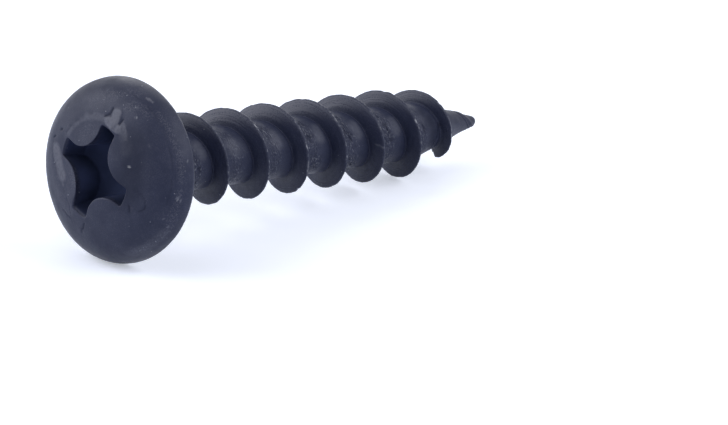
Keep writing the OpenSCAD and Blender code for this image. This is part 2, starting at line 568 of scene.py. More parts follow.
HEAD_MARKS = lay_marks(
    # The tongue that the punch raised beyond one wing, its root and tail, the cracks by it, and a patch by the rim
    (LIP, 0.31, 1.0, (2.75, -159), (3.05, -158.3), (3.34, -159.6)),
    (LIP, 0.27, 0.85, (2.74, -164.5), (2.7, -158), (2.78, -149)),
    (LIP, 0.12, 0.8, (2.78, -168.5), (2.74, -164.5)),
    (SPOT, 0.3, 0.6, (2.92, -146), (2.88, -139)),
    (SPOT, 0.4, 0.28, (2.85, -140), (2.75, -130), (2.6, -124)),
    (SPOT, 0.2, 1.0, (2.74, -150.5), (2.8, -145)),
    (SPOT, 0.42, 0.2, (4.6, -60), (4.5, -44), (4.42, -30)),
    (CREASE, 0.045, 1.0, (3.36, -151.8), (3.08, -150.9), (2.84, -150.2)),
    (SPOT, 0.17, 0.9, (2.93, -148.2), (3.12, -147.6), (3, -142), (2.85, -135.5)),
    (CREASE, 0.06, 0.9, (2.88, -171.5), (3.1, -166.5), (3.45, -166.5)),
    # Nicks and creases by the other wings
    (CREASE, 0.08, 1.0, (3, 121.5), (3.1, 119.5)),
    (CREASE, 0.07, 1.0, (3.3, 109.5), (3.4, 107.5)),
    (CREASE, 0.05, 0.5, (2.01, 90), (2.06, 80), (2.15, 70)),
    (CREASE, 0.055, 0.8, (2.73, 9.3), (2.98, 10), (3.1, 12.5), (3.24, 12.5)),
    (CREASE, 0.05, 0.6, (3.08, 30), (3.14, 36), (3.19, 42)),
    (CREASE, 0.05, 0.55, (3, -84.3), (3.3, -82), (3.5, -78.8), (3.62, -73)),
    (CREASE, 0.06, 0.7, (3.62, -73), (3.52, -69.5), (3.41, -68)),
    (CREASE, 0.08, 0.7, (2.84, -66), (2.9, -64), (2.98, -61)),
    (CREASE, 0.06, 0.6, (3.78, -121.3), (3.8, -120.6)),
    # The pale edges of the two facets, and the fine line where the crown gives way to the shoulder
    (SPOT, 0.13, 0.5, (3.24, 102), (2.99, 90.6), (2.63, 77.3), (2.4, 62)),
    (CREASE, 0.045, 0.3, (3.36, 104), (3.12, 91), (2.76, 77), (2.46, 57.8), (2.52, 38), (3.17, 25.9)),
    (SPOT, 0.16, 0.4, (2.45, 125.5), (2.5, 137), (2.58, 152.2), (2.68, 170.8), (2.76, -171.8)),
    (SPOT, 0.26, 0.45, (2.66, 160), (2.7, 176), (2.76, -171)),
    (CREASE, 0.045, 0.3, (2.62, 125.5), (2.67, 137), (2.74, 152.2), (2.86, 170.8)),
    (CREASE, 0.045, 0.35, *((4.36 + 0.12 * math.sin(math.radians(2 * k)), k - 170) for k in range(0, 91, 9))),
    # Painted fill light on the recess's walls that face away from the lamps
    (DUST_AND_FILL, 0.95, 1.0, (1.3, 62, -2.1), (1.15, 62, -1.4)),
    (DUST_AND_FILL, 0.5, 0.8, (1.9, 25, -2), (1.8, 25, -1.5)),
    (DUST_AND_FILL, 0.5, 0.5, (2, 112, -2), (1.9, 112, -1.5)),
    # Painted shade over the head's middle right, and a painted highlight on the crescent flat beside the other wing
    (DARK_PATCH, 1.5, 0.6, (2.4, -80), (2.7, -100), (3, -125)),
    (SPOT, 0.42, 0.84, (2.94, 100), (2.66, 90), (2.48, 80), (2.36, 73)),
    # Bright specks and dusty patches
    (CHIP, 0.03, 0.6, (2.56, -107.4), (2.57, -107.2)),
    (SPOT, 0.06, 0.9, (4.57, -85.2), (4.6, -84.9)),
    (SPOT, 0.05, 0.9, (4.65, -84.2), (4.67, -82.6)),
    (SPOT, 0.05, 0.7, (4.62, -86.9), (4.64, -86.6)),
    (CHIP, 0.03, 0.4, (4.61, -83.9), (4.61, -83.7)),
    (CHIP, 0.03, 0.6, (4.36, -95.8), (4.37, -95.5)),
    (CHIP, 0.03, 0.5, (3.86, -143.7), (3.87, -143.5)),
    (SPOT, 0.05, 0.9, (4.6, -65.8), (4.62, -65)),
    (SPOT, 0.045, 0.8, (4.41, -69.8), (4.42, -69.2)),
    (SPOT, 0.04, 0.6, (3.8, -121.3), (3.84, -119.8)),
    (SPOT, 0.085, 1.0, (4.57, -152.6), (4.6, -150), (4.61, -147.6)),
    (SPOT, 0.07, 0.7, (4.14, -150.2), (4.16, -149.4)),
    (SPOT, 0.07, 0.6, (3.84, -144.6), (3.88, -143.8)),
    (CHIP, 0.05, 0.6, (4.73, -107), (4.73, -106.6)),
    (CHIP, 0.04, 0.5, (2.53, -108.2), (2.54, -107.8)),
    (DUST_AND_FILL, 0.5, 0.9, (3.95, 178), (4.05, -174), (4.2, -168)),
    (DUST_AND_FILL, 0.5, 0.45, (3.6, 170), (3.7, -176)),
    (DUST_AND_FILL, 0.42, 0.9, (3.86, -156), (4.28, -150), (4.35, -140.8)),
    (DUST_AND_FILL, 0.4, 0.5, (4.4, -165), (4.5, -158)),
    (DUST_AND_FILL, 0.3, 1.0, (4.55, -138), (4.6, -124), (4.64, -110), (4.64, -96)),
    (DUST_AND_FILL, 0.36, 1.0, (4.62, -88), (4.6, -74), (4.64, -62), (4.5, -45), (4.4, -34)),
    (DUST_AND_FILL, 0.6, 0.35, (1.8, 150), (2, 168)),
)


@dataclass
class Shank:
    """The neck's collar, the threaded core and the point, with what rolling and driving left on them.

    A span is where a change starts and where it is complete. Each tear is the share of the crest that it takes,
    and where it starts and ends beyond the torn place. A hump has a height, a place and a width.
    """

    length: float = 25.4
    core_radius: float = 1.43
    thread_radius: float = 2.39
    pitch: float = 2.82
    crest_width: float = 0.06
    fore_flank: float = 0.42
    aft_flank: float = 0.23
    aft_bulge: float = 1.35
    thread_start: float = 1.0
    thread_end: float = 24.1475
    run_in: float = 2.6
    run_out: float = 4.4
    torn_z: float = 22.06
    roll_end: float = 24.95
    point_length: float = 4.15
    point_end_radius: float = 0.3
    point_hollow: float = 1.16
    cap_length: float = 0.34
    first_floor_z: float = 2.4492
    root_middle: float = 1.41
    crest_round: float = 0.03
    fore_fillet: float = 0.16
    aft_fillet: float = 0.05
    band_rise: float = 0.055
    band_hump: float = 0.05
    band_edge: Point2 = (0.01, 0.13)
    band_fade: Point2 = (0.6, 1.95)
    band_groove: Point2 = (-0.3, 0.0)
    band_start: Point2 = (1.6, 2.6)
    band_end: Point2 = (19.5, 22.5)
    last_rise: float = 0.07
    last_rise_span: Point2 = (20.9, 21.6)
    tears: tuple[Point3, ...] = ((0.4, 0.0, 0.03), (0.6, 0.07, 0.1))
    roll_height: float = 0.06
    roll_place: float = 0.33
    roll_width: float = 0.2
    roll_start: float = 0.3
    roll_fade: Point2 = (-0.7, 0.2)
    collar_end: float = 1.25
    collar_hump: Point3 = (0.06, 1.15, 0.12)
    collar_crease: Point3 = (-0.06, 0.94, 0.05)
    neck_radius: float = 1.75
    neck_run: float = 0.85
    steps: int = 144
    start_z: float = 0.9
    end_z: float = 25.32
    spare: float = 1.6
    crest_share: Point2 = (0.955, 0.99)
    flank_share: Point2 = (0.15, 0.3)
    flank_top: Point2 = (0.94, 0.99)
    drawn_from: float = 19.0
    waist_z: float = 21.2
    waist_depth: float = 0.24
    waist_width: float = 0.75
    waist_angle: float = 20.0
    core_reach: Point2 = (1.45, 2.0)
    point_rise: float = 0.12
    rise_span: Point2 = (20.2, 23.6)
    point_thinning: float = 0.06
    thin_span: Point2 = (20.8, 22.4)
    point_growth: float = 0.09
    growth_span: Point2 = (22.4, 25.4)
    crest_loss: float = 0.015
    ragged: Point2 = (0.022, 0.012)
    chip_depth: float = 0.035
    pitting: float = 0.006
    lumps: float = 0.02
    lump_fade: float = 0.6
    turn_run: float = 9.4
    seam_start: float = 3.0
    seam_clear: float = 0.3
    seam_place: float = 1.36
    seam_width: float = 0.34
    seam_fade: Point2 = (19.3, 20.2)
    second_crack: float = 0.17
    seam_swell: float = 0.016
    burr_height: float = 0.03
    crack_depth: float = 0.05
    tear_depth: float = 0.032
    marks: tuple[Mark, ...] = field(default_factory=lambda: SHANK_MARKS)

    def offsets(self) -> list[float]:
        """Lists the rows of the thread across one pitch.

        Returns:
            How far each row lies from the crest's middle.
        """
        half = self.crest_width / 2
        foot = half + self.aft_flank
        aft = [-foot - t for t in (0.32, 0.23, 0.16, 0.1, 0.06, 0.03, 0.0)]
        aft += [-half - self.aft_flank * t for t in (0.93, 0.84, 0.7, 0.54, 0.38, 0.2, 0.07)]
        fore = [half + self.fore_flank * t for t in (0.07, 0.2, 0.38, 0.56, 0.74, 0.9, 1.04, 1.2)]
        near, far, middle = fore[-1], self.pitch + aft[0], self.root_middle
        before = [near + (middle - near) * t for t in (0.13, 0.26, 0.38, 0.49, 0.58, 0.67, 0.75, 0.82, 0.88, 0.94)]
        after = [far - (far - middle) * t for t in (0.92, 0.84, 0.75, 0.66, 0.56, 0.45, 0.33, 0.2, 0.08)]
        rows = aft + [-half, 0.0, half] + fore + before
        return [o - self.pitch for o in [middle] + after] + rows + [middle]

    def root(self, z: float) -> float:
        """Follows the surface that the thread stands on.

        Args:
            z: Place along the axis.

        Returns:
            The radius of that surface.
        """
        if z < self.length - self.point_length:
            fall = ease(self.collar_end, self.collar_end + self.neck_run, z)
            plain = self.neck_radius + (self.core_radius - self.neck_radius) * fall
            return plain + hump(z, *self.collar_crease) + hump(z, *self.collar_hump)
        left = max(0.0, self.length - z)
        taper = self.core_radius - self.point_end_radius
        cone = self.point_end_radius + taper * (left / self.point_length) ** self.point_hollow
        rounding = max(0.0, 1 - left / self.cap_length)
        return cone * math.sqrt(1 - rounding**2)

    def band(self, z: float, offset: float) -> float:
        """Follows the band that rolling raised before the aft flank's foot, over a fine groove.

        Args:
            z: Place along the axis.
            offset: Distance from the crest's middle.

        Returns:
            How far the core stands up there.
        """
        foot = self.crest_width / 2 + self.aft_flank
        before = -offset - foot if offset < 0 else self.pitch - offset - foot
        rise = self.band_rise + self.band_hump * ease(*self.band_edge, before)
        fade = (1 - ease(*self.band_fade, before)) * ease(*self.band_groove, before)
        return rise * fade * ease(*self.band_start, z) * (1 - ease(*self.band_end, z))

    def ridge(self, z: float) -> float:
        """Follows the thread's crest, torn off short of its end, where only a low roll goes on.

        Args:
            z: Place of the crest along the axis.

        Returns:
            The crest's height over the core.
        """
        full = self.thread_radius - self.core_radius
        height = full * max(0.0, min(1.0, (z - self.thread_start) / self.run_in, (self.thread_end - z) / self.run_out))
        height += self.last_rise * ease(*self.last_rise_span, z)
        return height * (1 - sum(share * ease(self.torn_z + a, self.torn_z + b, z) for share, a, b in self.tears))

    def roll(self, z: float, offset: float) -> float:
        """Follows the low roll that goes on along the point beyond the torn end.

        Args:
            z: Place of the crest along the axis.
            offset: Distance from the crest's middle.

        Returns:
            The roll's height.
        """
        start, end = self.roll_fade
        fade = ease(self.torn_z, self.torn_z + self.roll_start, z)
        fade *= 1 - ease(self.roll_end + start, self.roll_end + end, z)
        return hump(offset, self.roll_height * fade, self.roll_place, self.roll_width)

    def height(self, z: float, offset: float) -> float:
        """Returns how far the surface stands over its root at an offset from the crest's middle.

        Args:
            z: Place of the crest along the axis.
            offset: Distance from the crest's middle, positive towards the point.

        Returns:
            The height, with a tight foot on the aft side and a fuller fillet on the fore side.
        """
        ridge = self.ridge(z)
        flank = self.fore_flank if offset > 0 else self.aft_flank
        along = max(0.0, (abs(offset) - self.crest_width / 2) / flank)
        bulge = 1.0 if offset > 0 else self.aft_bulge
        side = ridge - (self.thread_radius - self.core_radius) * along**bulge
        up = smooth_min(ridge, side, self.crest_round)
        blend = self.fore_fillet if offset > 0 else self.aft_fillet
        return smooth_max(self.band(z + offset, offset), up, blend) + self.roll(z, offset)

    def build(self, mesh: Mesh) -> tuple[Ring, Ring]:
        """Makes the shank: a grid is wound into the helical strip and sewn, then cut off square at both ends.

        Args:
            mesh: The mesh that the shank is added to.

        Returns:
            The open rings of edges at the neck and at the point.
        """
        layers = trait_layers(mesh)
        rows = self.offsets()
        first = math.floor((self.start_z - self.spare - self.first_floor_z) / self.pitch * self.steps)
        last = math.ceil((self.end_z + self.spare - self.first_floor_z) / self.pitch * self.steps)
        made = bmesh.ops.create_grid(mesh, x_segments=last - first, y_segments=len(rows) - 1, size=0.5)
        for v in made["verts"]:
            step = first + round((v.co.x + 0.5) * (last - first))
            offset = rows[round((v.co.y + 0.5) * (len(rows) - 1))]
            self.place(v, step, offset, layers)
        bmesh.ops.remove_doubles(mesh, verts=made["verts"], dist=1e-4)
        return self.square_off(mesh, self.start_z, -1), self.square_off(mesh, self.end_z, 1)

    def place(self, v: Vert, step: int, offset: float, layers: Layers) -> None:
        """Puts one vertex of the strip on the thread, and gives it its traits.

        Args:
            v: The vertex.
            step: Its step along the thread.
            offset: Its distance from the crest's middle.
            layers: The mesh's layer for each trait.
        """
        crest_z = self.first_floor_z + self.pitch * step / self.steps
        z = crest_z + offset
        height, ridge = self.height(crest_z, offset), self.ridge(crest_z)
        v.co = polar(max(0.02, self.root(z)) + height, 360 * (step % self.steps) / self.steps, z)
        share = height / ridge if ridge > 0.2 else 0.0
        v[layers[Trait.CREST]] = ease(*self.crest_share, share)
        v[layers[Trait.FLANK]] = ease(*self.flank_share, share) * (1 - ease(*self.flank_top, share))

    def square_off(self, mesh: Mesh, z: float, side: int) -> Ring:
        """Cuts the shank off square.

        Args:
            mesh: The mesh that holds the shank.
            z: Where the cut lies on the axis.
            side: 1 to clear what lies beyond the cut, and -1 to clear what lies before it.

        Returns:
            The open ring of edges at the cut.
        """
        whole = [*mesh.verts, *mesh.edges, *mesh.faces]
        plane = {"plane_co": (0, 0, z), "plane_no": (0, 0, side)}
        cut = bmesh.ops.bisect_plane(mesh, geom=whole, dist=1e-4, clear_outer=True, **plane)
        return [g for g in cut["geom_cut"] if isinstance(g, bmesh.types.BMEdge)]

    def wear(self, mesh: Mesh) -> None:
        """Nicks the crest, opens the seam that rolling left along the root, and lays the lumps on the point.

        Args:
            mesh: The screw's mesh.
        """
        layers = trait_layers(mesh)
        shank = [v for v in mesh.verts if v.co.z > self.thread_start]
        for v in shank:
            radius = radius_of(v)
            if radius < 1e-6:
                continue
            turn = math.atan2(v.co.y, v.co.x) / math.tau
            offset = (v.co.z - self.first_floor_z - self.pitch * turn + self.pitch / 2) % self.pitch - self.pitch / 2
            step = (v.co.z - offset - self.first_floor_z) / self.pitch
            crest = v[layers[Trait.CREST]]
            change = self.nick(v, layers, crest, step) if crest > 0 else 0.0
            if crest < 0.01:
                change += self.seam(v, layers, step, offset)
                change += self.pitting * noise.noise(v.co * 1.6)
            if v.co.z > self.length - self.point_length:
                change += self.lumps * noise.noise(v.co * 2.2) * ease(0.0, self.lump_fade, self.length - v.co.z)
            widen(v, 1 + change / radius)
        press_marks(self.marks, shank, layers)

    def draw_in(self, mesh: Mesh) -> None:
        """Necks the core beside the torn end, and thins and lifts the point, as tearing and driving left them.

        Args:
            mesh: The screw's mesh.
        """
        for v in mesh.verts:
            radius, z = radius_of(v), v.co.z
            if z < self.drawn_from or radius < 1e-6:
                continue
            below = max(0.0, math.cos(math.atan2(v.co.y, v.co.x) + math.radians(self.waist_angle)))
            waist = hump(z, self.waist_depth * below, self.waist_z, self.waist_width)
            drawn = (waist + self.point_thinning * ease(*self.thin_span, z)) * (1 - ease(*self.core_reach, radius))
            widen(v, 1 - drawn / radius)
            v.co.x -= self.point_rise * ease(*self.rise_span, z)
            v.co.z += self.point_growth * ease(*self.growth_span, z)

    def nick(self, v: Vert, layers: Layers, crest: float, step: float) -> float:
        """Wears a crest down at a vertex, and bares the metal of its chips.

        Args:
            v: The vertex.
            layers: The mesh's layer for each trait.
            crest: How far the vertex belongs to the crest.
            step: Turns from the first crest on the floor.

        Returns:
            The change of radius.
        """
        coarse, fine = self.ragged
        ragged = coarse * ripple(step * 41, 3.1, 0.0) + fine * ripple(step * 83, 6.1, 0.0)
        chip = ease(0.3, 0.5, ripple(step * 47, 8.7, 0.0))
        chip *= 0.8 * ease(0.0, 0.3, ripple(step * 6.1, 1.9, 0.0))
        add_trait(v, layers[Trait.BARE], chip * crest)
        return (ragged - self.crest_loss - self.chip_depth * chip) * crest

    def seam(self, v: Vert, layers: Layers, step: float, offset: float) -> float:
        """Returns the rise and fall of the torn seam along the middle of the root, and darkens its cracks.

        Args:
            v: The vertex.
            layers: The mesh's layer for each trait.
            step: Turns from the first crest on the floor to the vertex's own crest.
            offset: Distance from that crest's middle.

        Returns:
            The change of radius: tears are cut in, and the burrs beside them stand up.
        """
        if v.co.z > self.length - self.point_length - self.seam_clear or v.co.z < self.seam_start:
            return 0.0
        across = offset if offset > 0 else offset + self.pitch
        along = (step if offset > 0 else step - 1) * self.turn_run
        wander = 0.16 * ripple(along * 0.9, 0.4, 0.0) + 0.07 * ripple(along * 3.3, 5.2, 0.0)
        away = across - self.seam_place - wander
        band = hump(away, 1.0, 0.0, self.seam_width) * (1 - 0.85 * ease(*self.seam_fade, v.co.z))
        gate = ease(-0.05, 0.25, ripple(along * 0.75, 9.3, 2.0))
        split = ease(0.0, 0.3, ripple(along * 2.6, 2.2, 7.0))
        crack = gate * split * (1 - ease(0.02, 0.07, abs(away)))
        second = ease(0.1, 0.35, ripple(along * 2.1, 12.2, 3.0))
        crack = max(crack, gate * second * (1 - ease(0.015, 0.055, abs(away - self.second_crack))))
        rough = Vector((along * 4.2, across * 7.5, 31.0))
        tear = band * ease(0.22, 0.42, noise.noise(rough)) * ease(-0.3, 0.2, gate - 0.2)
        burr = band * ease(0.25, 0.5, noise.noise(rough + Vector((11.0, 5.0, 3.0))))
        add_trait(v, layers[Trait.DARK], max(0.7 * crack, 0.5 * tear))
        v[layers[Trait.SEAM]] = band * (0.5 + 0.5 * gate)
        v[layers[Trait.ALONG]] = along
        v[layers[Trait.ACROSS]] = across
        add_trait(v, layers[Trait.DUST_AND_FILL_LIGHT], 0.55 * burr + 0.2 * band)
        swell = self.seam_swell * band * noise.noise(rough * 0.5)
        return swell + self.burr_height * burr - self.crack_depth * crack - self.tear_depth * tear


SHANK_MARKS = lay_marks(
    # A hair scratch across an aft flank, and the fold beside the last turn
    (SPOT, 0.05, 0.9, (1.72, -97, 15.53), (1.95, -93.5, 15.64), (2.2, -91, 15.75), (2.36, -89.5, 15.83)),
    (FOLD, 0.2, 0.75, (1.43, -112, 21.05), (1.43, -100, 20.95), (1.43, -86, 20.97), (1.43, -74, 20.93)),
    (FOLD, 0.15, 0.9, (1.43, -74, 20.93), (1.43, -61, 20.84), (1.43, -50, 20.6)),
    (CREASE, 0.05, 0.8, (1.41, -104, 21.2), (1.42, -90, 21.17), (1.43, -76, 21.12)),
    (DARK_PATCH, 0.6, 0.75, (1.43, -125, 20.4), (1.43, -95, 20.6), (1.43, -78, 20.6)),
    # The paler start of the seam on each turn, and the duller metal of the point
    *(
        (SPOT, 0.42, 0.33, (1.43, a - 6, z - 0.1), (1.43, a + 14, z))
        for a, z in ((-126, 3.6), (-123, 5.9), (-129, 8.9), (-130, 12.0), (-128, 14.8), (-126, 17.7))
    ),
    (DARK_PATCH, 0.5, 0.48, (1.43, -144.4, 20.13), (1.43, -112.6, 20.15)),
    (SPOT, 0.36, 0.4, (1.43, -58, 20.5), (1.43, -42, 20.7)),
    (DARK_PATCH, 1.3, 0.28, (0.8, -125, 23.2), (0.5, -115, 24.3), (0.3, -105, 25)),
    # Bright chips on the crest
    (CHIP, 0.05, 0.9, (2.37, -140, 7), (2.37, -136.5, 7.02)),
    (CHIP, 0.034, 0.6, (2.37, -132, 7.06), (2.37, -131, 7.07)),
    (CHIP, 0.034, 0.6, (2.37, -93, 7.36), (2.37, -92, 7.37)),
    (CHIP, 0.032, 0.5, (2.37, -84.5, 7.42), (2.37, -83.5, 7.43)),
    (CHIP, 0.042, 0.7, (2.37, -105, 10.08), (2.37, -103, 10.1)),
    (CHIP, 0.042, 0.7, (2.37, -140, 12.63), (2.37, -138.6, 12.64)),
    (CHIP, 0.034, 0.6, (2.37, -135, 12.67), (2.37, -134, 12.68)),
    (CHIP, 0.032, 0.5, (2.37, -102, 12.93), (2.37, -101, 12.94)),
    (CHIP, 0.042, 0.7, (2.37, -85.5, 13.06), (2.37, -84, 13.07)),
    (CHIP, 0.034, 0.6, (2.37, -110.5, 18.5), (2.37, -109.5, 18.51)),
    (CHIP, 0.032, 0.5, (2.37, -104, 18.55), (2.37, -103, 18.56)),
    (CHIP, 0.03, 0.45, (2.37, -90, 18.66), (2.37, -89, 18.67)),
    (CHIP, 0.05, 0.9, (2, -93, 21.46), (2, -90, 21.48)),
    # Creases along the root
    (CREASE, 0.08, 1.0, (1.42, -125, 5.7), (1.42, -118, 5.78)),
    (CREASE, 0.07, 0.8, (1.42, -64, 6.1), (1.42, -58, 6.2)),
    (CREASE, 0.08, 1.0, (1.42, -132, 8.35), (1.42, -124, 8.5)),
    (CREASE, 0.06, 0.8, (1.42, -90, 8.8), (1.42, -84, 8.9)),
    (CREASE, 0.1, 1.0, (1.42, -123, 11.15), (1.42, -111, 11.3)),
    (CREASE, 0.07, 0.8, (1.42, -54, 12), (1.42, -47, 12.05)),
    (CREASE, 0.08, 1.0, (1.42, -124, 14.05), (1.42, -104, 14.3), (1.42, -88, 14.38)),
    (CREASE, 0.07, 0.8, (1.42, -84, 14.5), (1.42, -60, 14.7), (1.42, -34, 14.9)),
    (CREASE, 0.07, 0.8, (1.42, -112, 17.15), (1.42, -102, 17.25)),
)


def trait_layers(mesh: Mesh) -> Layers:
    """Returns the mesh's layer for each trait."""
    return {trait: mesh.verts.layers.float[trait.value] for trait in Trait}


def extend(mesh: Mesh, ring: Ring, place: Callable[[Vert], Vector]) -> Ring:
    """Extrudes an open ring of edges and moves the copy.

    Args:
        mesh: The mesh that holds the ring.
        ring: The edges of the ring.
        place: Gives each vertex of the copy its place.

    Returns:
        The edges of the copy.
    """
    made = bmesh.ops.extrude_edge_only(mesh, edges=ring)["geom"]
    verts = [g for g in made if isinstance(g, Vert)]
    for v, co in [(v, place(v)) for v in verts]:
        v.co = co
    copied = set(verts)
    return [g for g in made if isinstance(g, bmesh.types.BMEdge) and set(g.verts) <= copied]


def close(mesh: Mesh, ring: Ring, centre: Vector) -> None:
    """Closes an open ring with a fan of faces.

    Args:
        mesh: The mesh that holds the ring.
        ring: The edges of the ring.
        centre: The middle of the fan.
    """
    last = extend(mesh, ring, lambda v: v.co)
    verts = list(dict.fromkeys(v for e in last for v in e.verts))
    bmesh.ops.pointmerge(mesh, verts=verts, merge_co=centre)


@dataclass(frozen=True)
class Finish:
    """The coat of the screw, in linear colours."""

    coat: Colour = (0.020, 0.0240, 0.0485)
    coat_dark: Colour = (0.0130, 0.0165, 0.0375)
    pale: Colour = (0.094, 0.099, 0.130)
    # Painted highlight on the flanks that look up
    painted_highlight: Colour = (0.112, 0.117, 0.150)
    # Painted fill light in the recess, lighter and bluer than the coat
    recess: Colour = (0.025, 0.034, 0.078)
    # Painted fill light on the recess's walls that face away from the lamps
    recess_fill_light: Colour = (0.052, 0.068, 0.155)
    crack: Colour = (0.0045, 0.0065, 0.018)
    fleck: Colour = (0.17, 0.18, 0.22)
    steel: Colour = (0.36, 0.37, 0.41)
    dust_share: float = 0.42
    roughness: float = 0.45
    bump_strength: float = 0.35
    bump_depth: float = 0.03
    ior: float = 1.31
    tint: Colour = (0.84, 0.87, 1.0)


class Wiring:
    """Places the nodes of one shader tree and links them."""

    def __init__(self, tree: bpy.types.NodeTree) -> None:
        """Keeps the tree's nodes and links."""
        self.nodes, self.links = tree.nodes, tree.links

    def feed(self, sockets: bpy.types.NodeInputs, values: dict[str | int, Value | None]) -> None:
        """Fills sockets.

        Args:
            sockets: A node's inputs.
            values: What goes into each of them, by name or number. A socket is linked, a number or colour is set
                on the socket itself, and None leaves it alone.
        """
        for name, value in values.items():
            socket = sockets[name]
            if isinstance(value, Socket):
                self.links.new(value, socket)
            elif value is not None:
                socket.default_value = (*value, 1.0) if socket.type == "RGBA" else value

    def add(self, kind: str, inputs: dict[str | int, Value | None], **settings: str | bool) -> bpy.types.Node:
        """Places a node.

        Args:
            kind: The kind of node, as its type's name ends.
            inputs: What goes into each of its inputs, by name or number.
            settings: The node's own settings.

        Returns:
            The node.
        """
        node = self.nodes.new("ShaderNode" + kind)
        for name, setting in settings.items():
            setattr(node, name, setting)
        self.feed(node.inputs, inputs)
        return node

    def calc(self, kind: str, a: Socket, b: Socket | float | None = None, clamp: bool = False) -> Socket:
        """Does one sum."""
        return self.add("Math", {0: a, 1: b}, operation=kind, use_clamp=clamp).outputs[0]

    def times(self, a: Socket, b: Socket | float, clamp: bool = False) -> Socket:
        """Multiplies two values."""
        return self.calc("MULTIPLY", a, b, clamp)

    def plus(self, a: Socket, b: Socket, clamp: bool = False) -> Socket:
        """Adds two values."""
        return self.calc("ADD", a, b, clamp)

    def larger(self, a: Socket, b: Socket) -> Socket:
        """Takes the larger of two shares."""
        return self.calc("MAXIMUM", a, b, True)

    def remap(self, value: Socket, low: float, high: float, to: Point2 = (0.0, 1.0)) -> Socket:
        """Stretches a value from low and high to new limits."""
        limits = {"From Min": low, "From Max": high, "To Min": to[0], "To Max": to[1]}
        return self.add("MapRange", {"Value": value, **limits}).outputs["Result"]

    def blend(self, share: Socket, low: Socket | Colour, high: Colour) -> Socket:
        """Mixes two colours by a share."""
        inputs = {"Factor": share, 6: low, 7: high}
        return self.add("Mix", inputs, data_type="RGBA", clamp_factor=True).outputs[2]

    def noise(self, place: Socket, scale: Socket | float, detail: float, roughness: float | None = None) -> Socket:
        """Makes a soft noise."""
        inputs = {"Vector": place, "Scale": scale, "Detail": detail, "Roughness": roughness}
        return self.add("TexNoise", inputs).outputs["Fac"]

    def seen(self) -> Socket:
        """Tells what the camera sees.

        Returns:
            1 where the camera sees the surface, or sees it in metal or through glass.
        """
        path = self.add("LightPath", {})
        total = path.outputs[SEEN_RAYS[0]]
        for name in SEEN_RAYS[1:]:
            total = self.plus(total, path.outputs[name], True)
        return total


